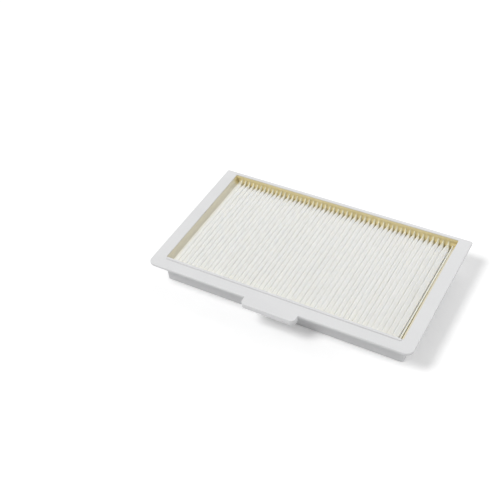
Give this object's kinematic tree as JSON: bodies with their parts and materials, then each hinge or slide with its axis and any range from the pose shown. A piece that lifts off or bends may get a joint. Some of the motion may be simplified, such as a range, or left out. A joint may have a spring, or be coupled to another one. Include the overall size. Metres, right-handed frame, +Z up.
{
  "type": "hepa filter panel",
  "caption": "Flat rectangular air filter panel: a deep-pleated white filter sheet sealed into a one-piece plastic frame with a flange and a pull tab on one long side.",
  "frame": {"origin": "bottom centre of the bounding box, on the surface the panel's foot stands on", "axes": "+X along the panel's length, +Y across it towards the edge without a tab, +Z up, out of the face with the flange"},
  "size_m": [0.234, 0.1432, 0.0256],
  "materials": {
    "frame_plastic": "fine matt moulded",
    "filter_paper": "fibrous matt",
    "sealant": "smooth, slightly waxy"
  },
  "bodies": {
    "root": {"frame": "frame_plastic", "pleated_media": "filter_paper", "edge_seal": "sealant"}
  },
  "joints": []
}
